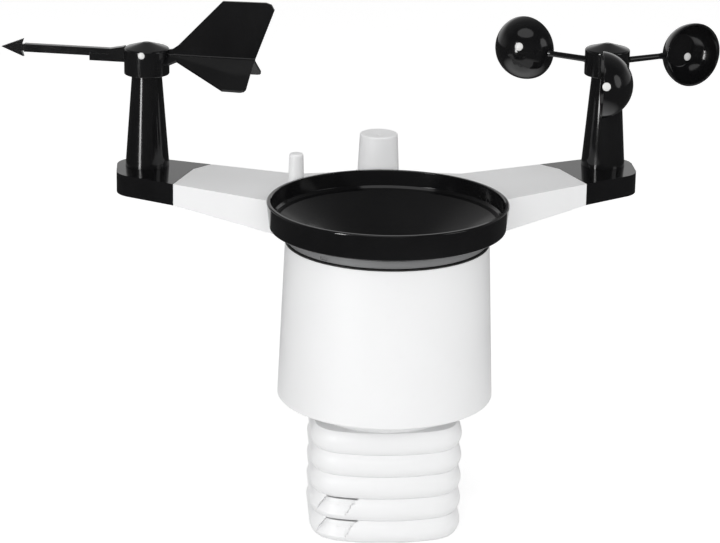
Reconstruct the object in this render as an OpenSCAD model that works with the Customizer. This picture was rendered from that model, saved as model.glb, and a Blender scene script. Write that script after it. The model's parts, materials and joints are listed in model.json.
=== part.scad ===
// Home weather station head: rain gauge, louvred sensor shield, wind vane and cup rotor
// on two swept arms over a pole socket. Millimetres, +Z up, -Y is the front.
// The origin is the centre of the pole socket mouth.

/* [Overall] */
// distance between the two wind sensor posts
post_span = 255; // [235:1:290]
// how far the posts stand behind the rain funnel axis
post_back = 96.9; // [92:0.1:108]
// how far the pole stands behind the rain funnel axis
pole_back = 80; // [79:0.5:90]
// height of the flat arm top over the pole mouth
arm_top = 53.5; // [50:0.5:65]

/* [Rain gauge] */
// outside diameter of the funnel rim
rim_d = 128; // [118:1:129]
// wall of the funnel rim
rim_wall = 2.3; // [1.8:0.1:3]
// height of the black rim band
rim_h = 13.8; // [12:0.2:15]
// slope of the funnel cone in degrees
cone_slope = 29; // [26:1:31]
// outside diameter of the gauge body under the funnel
body_top_d = 108; // [106:0.5:110]
// outside diameter of the gauge body at its foot
body_foot_d = 115; // [112:0.5:120]
// height of the gauge body
body_h = 85; // [82:0.5:105]
// wall of the gauge body
body_wall = 2.5; // [2:0.1:3]
// travel of the tipping bucket in degrees
bucket_swing = 28; // [20:1:30]

/* [Sensor shield] */
// outside width of the louvre rings
shield_d = 81; // [78:0.5:90]
// height of one louvre ring
louvre_h = 12.4; // [11:0.1:14]
// how far each louvre ring bulges out
louvre_bulge = 2.7; // [2:0.1:3]
// radius of the rounded corners of the louvre rings
turn_r = 16.8; // [14:0.2:24]
// width of one vent window
window_w = 17; // [10:0.5:22]

/* [Arms] */
// thickness of the arm at its outer end
arm_end_t = 11.5; // [10:0.1:13]
// thickness of the arm beside the funnel
arm_root_t = 17.3; // [16.5:0.1:19]
// wall of the arm shell
arm_wall = 2.4; // [2:0.1:3]

/* [Wind vane] */
// distance from the post axis to the arrow point
arrow_reach = 82.5; // [70:0.5:90]
// height of the upright tail fin over its spine
fin_h = 32; // [26:0.5:36]
// length of the tail behind the post axis
tail_reach = 71.5; // [66:0.5:80]
// resting heading of the vane in degrees
vane_yaw = -13.2; // [-40:0.1:40]

/* [Cup rotor] */
// outside diameter of one wind cup
cup_d = 36.2; // [30:0.2:40]
// distance from the rotor axis to the cup centre
cup_reach = 54.2; // [50:0.2:60]
// resting turn of the rotor in degrees
rotor_turn = -5.2; // [-60:0.2:60]

/* [Posts and pole] */
// height of the wind sensor posts over the arm
post_h = 53.6; // [45:0.1:65]
// bore of the pole socket
pole_bore = 19; // [16:0.5:20]
// depth of the pole bore
pole_depth = 58; // [40:1:62]
// height of the white pole dome over the arm
dome_h = 22.6; // [18:0.2:30]

/* [Hidden] */
$fn = 96;
eps = 0.01;
big = 400;

// stations along Z
rim_top = arm_top + 6.5;
band_bottom = rim_top - rim_h;
axis_y = -pole_back;

// funnel
rim_r = rim_d / 2;
rim_in = rim_r - rim_wall;
cone_top_r = rim_in - 3.9;
cone_top_z = rim_top - 10.4;
spout_r = 4;
spout_wall = 1.8;
spout_len = 4;
spout_z = cone_top_z - (cone_top_r - spout_r) * tan(cone_slope);
skin = 1.8;
skirt_r = 49.2;
skirt_w = 1.6;
function cone_z(r) = spout_z + (r - spout_r) * tan(cone_slope);
seat_z = cone_z(skirt_r) - 1.3;

// collar, seal and gauge body stations
collar_h = 4.1;
seal_h = 0.8;
seat_gap = 0.2;
collar_top = seat_z - seat_gap;
collar_bottom = collar_top - collar_h;
seal_top = collar_bottom - seat_gap;
body_top = seal_top - seal_h;
body_foot = body_top - body_h;
skirt_bottom = collar_bottom + 0.4;

// deck and collar
body_in_top = body_top_d / 2 - body_wall;
spigot_in = skirt_r + 0.3;
spigot_r = skirt_r + 2.2;
spigot_top = collar_top - 0.4;
run = 0.05;
collar_in = spigot_r + run;
collar_r = body_top_d / 2 - 1;
deck_t = 3;

// body taper
taper = (body_foot_d - body_top_d) / 2 / body_h;
function body_r(z) = body_top_d / 2 + (body_top - z) * taper;
function body_in(z) = body_r(z) - body_wall;
fit = 0.15;

// bucket
floor_t = 2.5;
pivot_z = spout_z - spout_len - 16.5;
floor_top = pivot_z - 14.5;
bucket_l = 56;
bucket_w = 24;
bucket_t = 1.2;
bucket_rise = 12.5;
pin_r = 1.5;
cheek_y = 15.6;
cheek_t = 2.6;
keel = 3.4;
wing_rise = 6.5;
stop_x = 20;
half_swing = bucket_swing / 2;
wing_slope = atan((wing_rise + keel) / (bucket_l / 2));
wing_z = (stop_x + keel * sin(half_swing)) * tan(wing_slope - half_swing) - keel * cos(half_swing);
stop_tip_r = 1;
stop_h = pivot_z - floor_top + wing_z - stop_tip_r * tan(wing_slope - half_swing) - 0.02;

// foot plate of the gauge body
plate_t = 2.6;
plate_top = body_foot + 0.6 + plate_t;
button_deg = -100;
button_r = 47;
button_cap_r = 3.1;
button_clear = 0.3;
drain_x = 32;
drain_r = 5.6;

// shield
shield_r = shield_d / 2;
notch_r = shield_r - louvre_bulge;
shield_gap = 9.3;
shield_top = body_foot - shield_gap;
shield_foot_z = shield_top - 5 * louvre_h;
flange_t = 1.2;
flange_in = notch_r - 11.8;
louvre_wall = 2;
core_r = 24;
core_wall = 1.6;
tie_pcr = 33;
window_mid = -30;
window_shift = -3.3;
window_sill = 3.2;
window_rake = 8.5;
baffle_top_r = notch_r - 1.6;
baffle_t = 1.5;
baffle_proud = 0.5;
slot_h = flange_t + 0.3;
bow_side = 0.28;
bow_ahead = sqrt(1 - bow_side * bow_side);
turn_x = notch_r - turn_r;
bow_r = turn_r + turn_x / bow_side;
bow_back = bow_r - notch_r;
turn_y = bow_back - (bow_r - turn_r) * bow_ahead;
foot_inset = 3.3;
foot_t = 1.8;

// arms
front_slope = 32.9;
back_slope = 23;
front_n = [sin(front_slope), -cos(front_slope)];
back_n = [-sin(back_slope), cos(back_slope)];
corner_r = 14;
post_x = post_span / 2;
post_y = post_back - pole_back;
corner_a = [post_x + 2.9, post_y - 12.5];
corner_b = [post_x + 2.9, post_y + 1.8];
root_len = 130;
front_root = corner_a + corner_r * front_n - root_len * [cos(front_slope), sin(front_slope)];
back_root = corner_b + corner_r * back_n - (root_len + 6) * [cos(back_slope), sin(back_slope)];
seam = [[post_x - 14.5, post_y - 40], [post_x - 25.5, post_y - 9.2], [post_x - 36.5, post_y + 2]];
hub_r = 13.4;
hollow_x = 24;
arm_dir = 33;
funnel_gap = 1.8;
arm_end_z = arm_top - arm_end_t;
arm_root_z = arm_top - arm_root_t;
hub_z = arm_root_z - 1.5;
cover_t = 2;

// posts, caps and shafts
post_foot_r = 12.2;
post_neck_r = 8.1;
post_wall = 1.9;
post_top = arm_top + post_h;
cap_r = 12.45;
cap_wall = 1.7;
cap_bottom = post_top - 1.5;
cap_side_h = 14.4;
cap_cone_h = 3.3;
cap_roof = 4.6;
shaft_r = 1.5;
shaft_low = post_top - 24;
bush_r = 3.4;
bush_h = 3;
web_z = post_top - 20;
web_t = 2.5;
arm_z = cap_bottom + 6.9;
vane_z = cap_bottom + 10.7;

// rotor cups
cup_r = cup_d / 2;
cup_wall = 1.2;
cup_ahead = 5.6;
cup_sink = 1.2;
cup_disc = 3.9;
spoke_r = 1.75;
spoke_tip_r = 1.6;

// pole socket
bore_r = pole_bore / 2;
socket_r = bore_r + 3.6;
dome_foot_r = 11.5;
dome_top_r = 10.4;
dome_top = arm_top + dome_h;
screw_z = 14;

// small hardware
m3_r = 1.5;
m3_head_r = 2.8;
m3_head_h = 1.8;
saddle_z = [9, 27];

// battery bay under the right arm root
bay_u = 64;
bay_v = 2;
bay_l = 47;
bay_w = 35;
cell_r = 5.25;
cell_l = 44.5;
cell_pitch = 11;
cell_lift = 0.1;
door_t = 2;
door_gap = 0.2;
door_over = 3;
hinge_z = -door_gap - door_t / 2;
hinge_y = 12;
hinge_pin_r = 0.6;
lug_w = 2.6;
root_u = 66;
seam_u = 121;
slope_deg = atan((arm_root_t - arm_end_t - 0.6) / (seam_u - root_u));

// antenna stub
antenna_x = -46.4;
antenna_y = axis_y + 52.8;
antenna_r = 4.4;
antenna_tip_r = 3.8;
antenna_h = 18.5;

// right arm axis frame: u runs outwards and v runs backwards
module arm_axes() {
  translate([0, axis_y + 10, 0])
    rotate([0, 0, arm_dir])
      children();
}

// frame on the sloping underside of the right arm, at the inner end of the bay
module bay_axes() {
  arm_axes()
    translate([bay_u, bay_v, arm_root_z])
      rotate([0, -slope_deg, 0])
        children();
}

module both_sides() {
  children();
  mirror([1, 0, 0])
    children();
}

module post_place(side) {
  translate([side * post_x, post_y, 0])
    children();
}

// plan outline of the right arm, moved inwards by i
module arm_plan(i) {
  polygon([
    front_root - i * front_n,
    corner_a + (corner_r - i) * front_n,
    corner_a + [corner_r - i, 0],
    corner_b + [corner_r - i, 0],
    corner_b + (corner_r - i) * back_n,
    back_root - i * back_n
  ]);
  translate(corner_a)
    circle(corner_r - i);
  translate(corner_b)
    circle(corner_r - i);
}

// band following the underside of the arm from height a to height b over it
module underside_band(a, b) {
  arm_axes()
    rotate([90, 0, 0])
      linear_extrude(height = big, center = true)
        polygon([
          [-40, hub_z + a],
          [root_u - 20, hub_z + a],
          [root_u, arm_root_z + a],
          [seam_u, arm_end_z - 0.6 + a],
          [seam_u + 60, arm_end_z + a],
          [seam_u + 90, arm_end_z + b],
          [seam_u + 60, arm_end_z + b],
          [seam_u, arm_end_z - 0.6 + b],
          [root_u, arm_root_z + b],
          [root_u - 20, hub_z + b],
          [-40, hub_z + b]
        ]);
}

module arm_solid() {
  difference() {
    linear_extrude(height = arm_top)
      arm_plan(0);
    underside_band(-90, 0);
  }
}

// hollow of one arm, open through the underside
module arm_hollow() {
  difference() {
    linear_extrude(height = arm_top - arm_wall)
      arm_plan(arm_wall);
    translate([0, axis_y, -eps])
      cylinder(r = rim_r + funnel_gap + arm_wall, h = big);
    translate([-big, -big / 2, -eps])
      cube([big + hollow_x, big, big]);
  }
}

// everything outboard of the angled seam
module seam_block(grow) {
  translate([-grow, 0, -eps])
    linear_extrude(height = big)
      polygon([
        seam[0] + [12, -37],
        seam[0],
        seam[1],
        seam[2],
        seam[2] + [-30, 27],
        [post_x + 60, post_y + 70],
        [post_x + 60, post_y - 90]
      ]);
}

// room kept clear for the funnel, the collar and the gauge body
module gauge_room() {
  translate([0, axis_y, seat_z - 0.6])
    cylinder(r = rim_r + funnel_gap, h = big);
  translate([0, axis_y, body_top - 1])
    cylinder(r = body_top_d / 2 + 0.4, h = big);
  translate([0, axis_y, body_foot])
    cylinder(r1 = body_foot_d / 2 + fit, r2 = body_top_d / 2 + fit, h = body_h);
}

module arm_frame() {
  color("white")
    hinge_lug(-1);
  color("white")
    difference() {
      union() {
        difference() {
          both_sides()
            arm_solid();
          both_sides()
            seam_block(0);
        }
        translate([0, 0, hub_z])
          cylinder(r = hub_r, h = arm_top - hub_z);
        // web joining both arms to the hub
        translate([0, 0, hub_z])
          linear_extrude(height = arm_top - hub_z)
            polygon([[-48, -24], [-48, -2.5], [-12, 3], [12, 3], [48, -2.5], [48, -24]]);
      }
      both_sides()
        arm_hollow();
      gauge_room();
      translate([0, 0, -eps])
        cylinder(r = dome_foot_r + fit, h = big);
    }
}

module arm_cover() {
  color("white")
    hinge_lug(1);
  color("white")
    difference() {
      both_sides()
        difference() {
          linear_extrude(height = arm_top)
            arm_plan(arm_wall + fit);
          underside_band(-90, 0);
          underside_band(cover_t, 90);
          translate([0, axis_y, -eps])
            cylinder(r = rim_r + funnel_gap + arm_wall + fit, h = big);
          translate([-big, -big / 2, -eps])
            cube([big + hollow_x + fit, big, big]);
        }
      bay_axes()
        translate([0, -bay_w / 2, -5])
          cube([bay_l, bay_w, 12]);
    }
}

// black end piece of the arm on one side
module end_cap(side) {
  mirror([side < 0 ? 1 : 0, 0, 0])
    color("#141414")
      difference() {
        intersection() {
          arm_solid();
          seam_block(-0.1);
        }
        arm_hollow();
      }
}

module end_cap_left() {
  end_cap(-1);
}

module end_cap_right() {
  end_cap(1);
}

module pole_socket() {
  color("white")
    difference() {
      union() {
        cylinder(r = socket_r, h = hub_z - 0.1);
        cylinder(r = dome_foot_r, h = arm_top);
        translate([0, 0, arm_top])
          cylinder(r1 = dome_foot_r, r2 = dome_top_r, h = dome_h - 1.2);
        translate([0, 0, dome_top - 1.2])
          cylinder(r1 = dome_top_r, r2 = dome_top_r - 0.9, h = 1.2);
      }
      translate([0, 0, -eps])
        cylinder(r = bore_r, h = pole_depth + eps);
      // shallow dish in the dome
      translate([0, 0, dome_top + 34])
        sphere(r = 34.8);
      translate([0, 0, screw_z])
        rotate([-90, 0, 0])
          cylinder(r = m3_r + 0.6, h = big);
      // slot for the captured nut
      translate([0, bore_r + 1.9, screw_z])
        cube([7.4, 3.2, 6.6], center = true);
    }
}

module saddle_bracket() {
  color("white")
    difference() {
      translate([-9, axis_y + body_r(hub_z) - 6, 2])
        cube([18, pole_back - body_r(hub_z) + 4, hub_z - 2.1]);
      translate([0, 0, -eps])
        cylinder(r = socket_r + fit, h = big);
      gauge_room();
      for (z = saddle_z)
        translate([0, axis_y, z])
          rotate([-90, 0, 0])
            cylinder(r = m3_r + 0.05, h = body_in(z) + 9, $fn = 32);
    }
}

module saddle_screws() {
  color("silver")
    for (z = saddle_z)
      translate([0, axis_y + body_in(z) - 0.6, z])
        rotate([-90, 0, 0])
          screw_body(8);
}

// pan head screw with its head under the origin and its shank along +Z
module screw_body(l) {
  difference() {
    union() {
      cylinder(r = m3_r, h = l, $fn = 32);
      translate([0, 0, -m3_head_h])
        cylinder(r = m3_head_r, h = m3_head_h, $fn = 32);
    }
    translate([0, 0, -m3_head_h + 0.4])
      cube([0.8, 3.6, 0.9], center = true);
  }
}

module pole_screw() {
  color("silver")
    translate([0, socket_r + 4.6, screw_z])
      rotate([90, 0, 0])
        union() {
          cylinder(r = 2, h = socket_r + 4.6 - bore_r - 0.5, $fn = 48);
          translate([0, 0, -3])
            cylinder(r = 4, h = 3, $fn = 6);
        }
}

module pole_nut() {
  color("silver")
    translate([0, bore_r + 1.9, screw_z])
      rotate([90, 0, 0])
        difference() {
          cylinder(r = 3.5, h = 2.6, center = true, $fn = 6);
          cylinder(r = 2, h = 5, center = true, $fn = 48);
        }
}

module antenna_sleeve() {
  color("white")
    translate([antenna_x, antenna_y, arm_top]) {
      cylinder(r1 = antenna_r, r2 = antenna_tip_r, h = antenna_h - 1.5);
      translate([0, 0, antenna_h - 1.5])
        cylinder(r1 = antenna_tip_r, r2 = antenna_tip_r - 1.1, h = 1.5);
    }
}

module gauge_body() {
  color("white")
    translate([0, axis_y, body_foot])
      difference() {
        union() {
          translate([0, 0, 1.2])
            cylinder(r1 = body_r(body_foot + 1.2), r2 = body_top_d / 2, h = body_h - 1.2);
          cylinder(r1 = body_foot_d / 2 - 1, r2 = body_r(body_foot + 1.2), h = 1.2);
        }
        translate([0, 0, -eps])
          cylinder(r1 = body_foot_d / 2 - body_wall, r2 = body_in_top, h = body_h + 2 * eps);
        for (z = saddle_z)
          translate([0, 0, z - body_foot])
            rotate([-90, 0, 0])
              cylinder(r = m3_r + 0.1, h = big, $fn = 32);
      }
}

// deck closing the gauge body, with the spigot the collar turns on
module gauge_deck() {
  color("white")
    translate([0, axis_y, 0])
      difference() {
        union() {
          translate([0, 0, body_top - deck_t])
            cylinder(r1 = body_in(body_top - deck_t) - fit, r2 = body_in_top - fit, h = deck_t);
          translate([0, 0, body_top - eps])
            cylinder(r = spigot_r, h = spigot_top - body_top + eps);
        }
        translate([0, 0, body_top - deck_t - eps])
          cylinder(r = spigot_in, h = big);
      }
}

module seal_ring() {
  color("#101010")
    translate([0, axis_y, body_top])
      difference() {
        cylinder(r = body_top_d / 2 + 0.1, h = seal_h);
        translate([0, 0, -eps])
          cylinder(r = spigot_r + 0.4, h = seal_h + 1);
      }
}

module lock_collar() {
  color("#8a8c8e")
    translate([0, axis_y, collar_bottom])
      difference() {
        cylinder(r = collar_r, h = collar_h);
        translate([0, 0, -eps])
          cylinder(r = collar_in, h = collar_h + 1);
        // pointer notch
        rotate([0, 0, -132])
          translate([collar_r, 0, 1.6])
            cube([1.6, 5, 1.8], center = true);
      }
}

module funnel() {
  color("#0c0c0c")
    translate([0, axis_y, 0])
      difference() {
        rotate_extrude($fn = 128)
          polygon([
            [rim_r - 1.4, rim_top],
            [rim_r - 0.3, rim_top - 0.4],
            [rim_r, rim_top - 1.4],
            [rim_r - 1.65, band_bottom],
            [collar_r + 3, band_bottom],
            [collar_r + 0.6, seat_z],
            [skirt_r, seat_z],
            [skirt_r, skirt_bottom],
            [skirt_r - skirt_w, skirt_bottom],
            [skirt_r - skirt_w, cone_z(skirt_r - skirt_w) - skin],
            [spout_r + spout_wall, cone_z(spout_r + spout_wall) - skin],
            [spout_r + spout_wall, spout_z - spout_len],
            [spout_r, spout_z - spout_len],
            [spout_r, spout_z],
            [cone_top_r, cone_top_z],
            [rim_in - 1.6, cone_top_z + 0.7],
            [rim_in - 0.5, cone_top_z + 2],
            [rim_in, rim_top - 0.4],
            [rim_in + 0.4, rim_top]
          ]);
      }
}

module debris_filter() {
  color("#1c1c1c")
    translate([0, axis_y, spout_z])
      difference() {
        union() {
          translate([0, 0, 6.6])
            cylinder(r = 7.4, h = 3);
          translate([0, 0, 9.6])
            cylinder(r1 = 7.4, r2 = 3, h = 3);
          translate([0, 0, -2.4])
            cylinder(r = spout_r - 0.5, h = 10);
        }
        translate([0, 0, -3])
          cylinder(r = spout_r - 1.6, h = 12);
        for (a = [0 : 45 : 315])
          rotate([0, 0, a])
            translate([3, -0.7, 7.2])
              cube([8, 1.4, 5]);
      }
}

module gauge_floor() {
  color("#e8e8e8")
    translate([0, axis_y, floor_top - floor_t])
      difference() {
        cylinder(r1 = body_in(floor_top - floor_t) - fit, r2 = body_in(floor_top) - fit, h = floor_t);
        for (x = [-drain_x, drain_x])
          translate([x, 0, -eps])
            cylinder(r = 6, h = floor_t + 1);
      }
}

module drain_screens() {
  color("silver")
    for (x = [-drain_x, drain_x])
      translate([x, axis_y, floor_top])
        difference() {
          cylinder(r = 7.5, h = 0.8, $fn = 48);
          for (a = [-2 : 2])
            translate([a * 2.4 - 0.6, -4, -eps])
              cube([1.2, 8, 2]);
        }
}

module drain_tubes() {
  color("#e8e8e8")
    for (x = [-drain_x, drain_x])
      translate([x, axis_y, plate_top])
        difference() {
          cylinder(r = 7, h = floor_top - floor_t - plate_top);
          translate([0, 0, -eps])
            cylinder(r = 5.6, h = big);
        }
}

module bucket_cradle() {
  color("#e8e8e8")
    translate([0, axis_y, floor_top])
      for (s = [-1, 1])
        difference() {
          union() {
            translate([-7, s * cheek_y - cheek_t / 2, 0])
              cube([14, cheek_t, 12]);
            translate([0, s * cheek_y + cheek_t / 2, pivot_z - floor_top])
              rotate([90, 0, 0])
                cylinder(r = 5, h = cheek_t);
          }
          translate([0, s * cheek_y + 5, pivot_z - floor_top])
            rotate([90, 0, 0])
              cylinder(r = pin_r, h = 10, $fn = 48);
        }
}

module bucket_pin() {
  color("silver")
    translate([0, axis_y + cheek_y + cheek_t / 2 + 1, pivot_z])
      rotate([90, 0, 0])
        cylinder(r = pin_r - eps, h = 2 * cheek_y + cheek_t + 2, $fn = 48);
}

// two-chamber bucket, resting on the right stop
module tipping_bucket() {
  color("#1a1a1a")
    translate([0, axis_y, pivot_z])
      rotate([0, bucket_swing / 2, 0])
        difference() {
          union() {
            rotate([90, 0, 0])
              linear_extrude(height = bucket_w, center = true)
                polygon([
                  [-bucket_l / 2, wing_rise],
                  [0, -keel],
                  [bucket_l / 2, wing_rise],
                  [bucket_l / 2, 8],
                  [0, bucket_rise],
                  [-bucket_l / 2, 8]
                ]);
            rotate([90, 0, 0])
              cylinder(r = keel, h = bucket_w + 2, center = true);
          }
          for (s = [-1, 1])
            rotate([90, 0, 0])
              linear_extrude(height = bucket_w - 2 * bucket_t, center = true)
                polygon([
                  [s * (bucket_l / 2 + 1), 7.7],
                  [s * 4.6, -0.2],
                  [s * 4.6, 3],
                  [s * bucket_t / 2, 5.4],
                  [s * bucket_t / 2, 20],
                  [s * (bucket_l / 2 + 1), 20]
                ]);
          rotate([90, 0, 0])
            cylinder(r = pin_r + run, h = 60, center = true, $fn = 48);
        }
}

module bucket_magnet() {
  color("silver")
    translate([0, axis_y, pivot_z])
      rotate([0, bucket_swing / 2, 0])
        translate([0, bucket_w / 2 + eps, 8])
          rotate([-90, 0, 0])
            cylinder(r = 2, h = 1.6, $fn = 32);
}

// stops: the bucket wing rests on their tips
module stop_screws() {
  color("silver")
    for (s = [-1, 1])
      translate([s * stop_x, axis_y, floor_top])
        union() {
          cylinder(r = 2, h = stop_h - 0.5, $fn = 32);
          cylinder(r = stop_tip_r, h = stop_h, $fn = 32);
        }
}

module reed_switch() {
  color("#2f7a3a")
    translate([-9, axis_y + cheek_y + cheek_t / 2 + 1.3, floor_top])
      cube([18, 1.6, 20]);
}

module bottom_plate() {
  color("white")
    translate([0, axis_y, body_foot + 0.6])
      difference() {
        cylinder(r = body_in(plate_top) - fit, h = plate_t);
        for (x = [-drain_x, drain_x])
          translate([x, 0, -eps])
            cylinder(r = 5.6, h = plate_t + 1);
        translate([0, 0, -eps])
          cylinder(r = core_r - core_wall, h = plate_t + 1);
        rotate([0, 0, button_deg])
          translate([button_r, 0, -eps])
            cylinder(r = button_cap_r + button_clear, h = plate_t + 1);
      }
}

module plate_screws() {
  color("silver")
    for (a = [30 : 120 : 270])
      translate([0, axis_y, body_foot + 0.6])
        rotate([0, 0, a])
          translate([body_in(plate_top) - 5, 0, -0.02])
            screw_body(0.01);
}

module main_board() {
  color("#1e6b35")
    translate([0, axis_y, plate_top + 6])
      difference() {
        cylinder(r = body_in(plate_top + 8) - 2.5, h = 1.6);
        for (x = [-drain_x, drain_x])
          translate([x, 0, -eps])
            cylinder(r = 7.5, h = 5);
        translate([0, 0, -eps])
          cylinder(r = 8, h = 5);
      }
  // push switch under the board
  color("#1e6b35")
    translate([0, axis_y, 0])
      rotate([0, 0, button_deg])
        translate([button_r - 3, -3, plate_top + 2.8])
          cube([6, 6, 3.2 + eps]);
}

module board_posts() {
  color("#e8e8e8")
    for (a = [30 : 60 : 330])
      translate([0, axis_y, plate_top])
        rotate([0, 0, a])
          translate([42, 0, 0])
            cylinder(r = 3, h = 6, $fn = 48);
}

module radio_module() {
  color("#30506e")
    translate([-12, axis_y + 14, plate_top + 7.6])
      cube([24, 16, 3.2]);
}

// button cap through the bottom plate with a flange above it
module reset_button() {
  color("#c8c8c8")
    translate([0, axis_y, 0])
      rotate([0, 0, button_deg])
        translate([button_r, 0, body_foot - 0.6]) {
          cylinder(r = button_cap_r, h = 1.2 + plate_t + 0.9);
          translate([0, 0, 1.2 + plate_t + 0.15])
            cylinder(r = 4.2, h = 0.9);
        }
}

// section carried round the plan of a ring: bowed front and back, rounded corners, straight sides
module ring_path() {
  reach = 100;
  for (a = [0, 180])
    rotate([0, 0, a]) {
      intersection() {
        translate([0, bow_back, 0])
          rotate_extrude()
            translate([bow_back, 0])
              children();
        translate([0, 0, -20])
          linear_extrude(height = 40)
            polygon([
              [0, bow_back],
              [-bow_side * 2 * reach, bow_back - bow_ahead * 2 * reach],
              [bow_side * 2 * reach, bow_back - bow_ahead * 2 * reach]
            ]);
      }
      for (m = [0, 1])
        mirror([m, 0, 0])
          intersection() {
            translate([turn_x, turn_y, 0])
              rotate_extrude()
                translate([-turn_x, 0])
                  children();
            translate([0, 0, -20])
              linear_extrude(height = 40)
                polygon([
                  [turn_x, turn_y],
                  [turn_x + bow_side * reach, turn_y - bow_ahead * reach],
                  [turn_x + reach, turn_y - bow_ahead * reach],
                  [turn_x + reach, turn_y]
                ]);
          }
      translate([0, -turn_y, 0])
        rotate([90, 0, 0])
          linear_extrude(height = -2 * turn_y)
            children();
    }
}

// one louvre ring: bulged outer wall with a flat flange at its top
module louvre(n, cut) {
  zc = shield_top - (n - 0.5) * louvre_h;
  half = louvre_h / 2 - eps;
  bulge_r = (half * half + louvre_bulge * louvre_bulge) / (2 * louvre_bulge);
  color("white")
    translate([0, axis_y, zc])
      difference() {
        union() {
          ring_path()
            union() {
              difference() {
                intersection() {
                  translate([shield_r - bulge_r, 0])
                    circle(bulge_r);
                  translate([notch_r - 3, -half])
                    square([20, 2 * half]);
                }
                translate([shield_r - bulge_r, 0])
                  circle(bulge_r - louvre_wall);
              }
              translate([flange_in, half - flange_t])
                square([notch_r - 0.4 - flange_in, flange_t]);
            }
          if (cut)
            for (a = [0, 180])
              rotate([0, 0, a])
                window_part(half, 1)
                  polygon([
                    [baffle_r(half, window_sill + 1) + baffle_proud, window_sill + 1 - half],
                    [baffle_top_r + baffle_proud, half - 1],
                    [baffle_top_r - baffle_t, half - 1],
                    [baffle_r(half, window_sill + 1) - baffle_t - 0.6, window_sill + 1 - half]
                  ]);
        }
        for (a = [0 : 120 : 240])
          rotate([0, 0, a + 30])
            translate([tie_pcr, 0, half - flange_t - 1])
              cylinder(r = m3_r, h = 5, $fn = 32);
        if (cut)
          for (a = [0, 180])
            rotate([0, 0, a])
              window_part(half, 0)
                polygon([
                  [baffle_r(half, 1.2), 1.2 - half],
                  [baffle_top_r, half - slot_h],
                  [baffle_top_r - 3.2, half - slot_h],
                  [baffle_top_r - 3.2, half + 1],
                  [shield_r + 3, half + 1],
                  [shield_r + 3, 1.2 - half]
                ]);
      }
}

// radius of the sloped baffle at height z over the ring's lower edge
function baffle_r(half, z) = baffle_top_r
  + (shield_r - 0.5 - baffle_top_r) * (2 * half - slot_h - z) / (2 * half - slot_h - window_sill);

// section round the ring kept only inside the raked window outline, grown sideways by g
module window_part(half, g) {
  w = window_w / 2 + g;
  intersection() {
    ring_path()
      children();
    rotate([0, 0, window_mid - 90])
      translate([0, window_shift, 0])
        rotate([90, 0, 90])
          linear_extrude(height = 80)
            polygon([
              [-w - window_rake, -half - 1],
              [w - window_rake, -half - 1],
              [w, half + 1],
              [-w, half + 1]
            ]);
  }
}

module louvre_1() {
  louvre(1, false);
}

module louvre_2() {
  louvre(2, false);
}

module louvre_3() {
  louvre(3, false);
}

module louvre_4() {
  louvre(4, true);
}

module louvre_5() {
  louvre(5, true);
}

// slotted tube hanging from the bottom plate round the climate board
module shield_core() {
  core_bottom = shield_foot_z + 2.2;
  core_h = body_foot + 0.6 - core_bottom;
  color("white")
    translate([0, axis_y, core_bottom])
      difference() {
        union() {
          cylinder(r = core_r, h = core_h);
          translate([0, 0, core_h - shield_gap - 0.6])
            cylinder(r = notch_r - 1, h = 2);
        }
        translate([0, 0, -1])
          cylinder(r = core_r - core_wall, h = core_h - 1);
        // cable hole in the closed top
        translate([0, 9, -1])
          cylinder(r = 2.5, h = big, $fn = 48);
        for (a = [15 : 30 : 345])
          rotate([0, 0, a])
            for (z = [6 : 9 : 42])
              translate([core_r - 3, -3.5, z])
                cube([6, 7, 5]);
        for (a = [0 : 120 : 240])
          rotate([0, 0, a + 30])
            translate([tie_pcr, 0, -1])
              cylinder(r = m3_r, h = big, $fn = 32);
      }
}

module tie_screws() {
  color("silver")
    for (a = [0 : 120 : 240])
      translate([0, axis_y, shield_foot_z + foot_t])
        rotate([0, 0, a + 30])
          translate([tie_pcr, 0, 0])
            cylinder(r = m3_r - 0.05, h = 5 * louvre_h, $fn = 32);
}

module shield_foot() {
  color("white")
    translate([0, axis_y, shield_foot_z])
      difference() {
        union() {
          cylinder(r = notch_r - 5.8, h = foot_t);
          ring_path()
            translate([flange_in, 0])
              square([notch_r - foot_inset - flange_in, foot_t]);
        }
        for (a = [0 : 30 : 330])
          rotate([0, 0, a])
            translate([12, -1.5, -1])
              cube([14, 3, 5]);
      }
}

module climate_board() {
  color("#1e6b35")
    translate([-7, axis_y - 0.8, shield_foot_z + 12])
      cube([14, 1.6, body_foot + 0.6 - 2 - shield_foot_z - 12]);
}

module climate_sensor() {
  color("#e6e6e6")
    translate([-3, axis_y - 2.8, shield_foot_z + 14])
      cube([6, 2, 6]);
}

// hollow tapered post with two bushing seats
module sensor_post(side) {
  seat_r = bush_r;
  color("#141414")
    post_place(side)
      difference() {
        translate([0, 0, arm_top])
          cylinder(r1 = post_foot_r, r2 = post_neck_r, h = post_h);
        difference() {
          translate([0, 0, arm_top - eps])
            cylinder(r1 = post_foot_r - post_wall, r2 = post_neck_r - post_wall, h = post_h);
          translate([0, 0, post_top - bush_h])
            cylinder(r = big, h = big);
          translate([0, 0, web_z])
            cylinder(r = big, h = web_t);
        }
        translate([0, 0, web_z - 1])
          cylinder(r = seat_r, h = big);
      }
}

module post_bushings(side) {
  color("#d9c27a")
    post_place(side)
      for (z = [web_z, post_top - bush_h])
        translate([0, 0, z])
          difference() {
            cylinder(r = bush_r - 0.02, h = z == web_z ? web_t : bush_h, $fn = 64);
            translate([0, 0, -1])
              cylinder(r = shaft_r + run, h = 9, $fn = 64);
          }
}

module post_board(side) {
  color("#1e6b35")
    post_place(side)
      translate([0, 0, arm_top + 12])
        cylinder(r = post_foot_r - post_wall - 1.4, h = 1.6, $fn = 64);
}

module vane_post() {
  sensor_post(-1);
}

module rotor_post() {
  sensor_post(1);
}

module vane_bushings() {
  post_bushings(-1);
}

module rotor_bushings() {
  post_bushings(1);
}

module vane_sensor_board() {
  post_board(-1);
}

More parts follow.
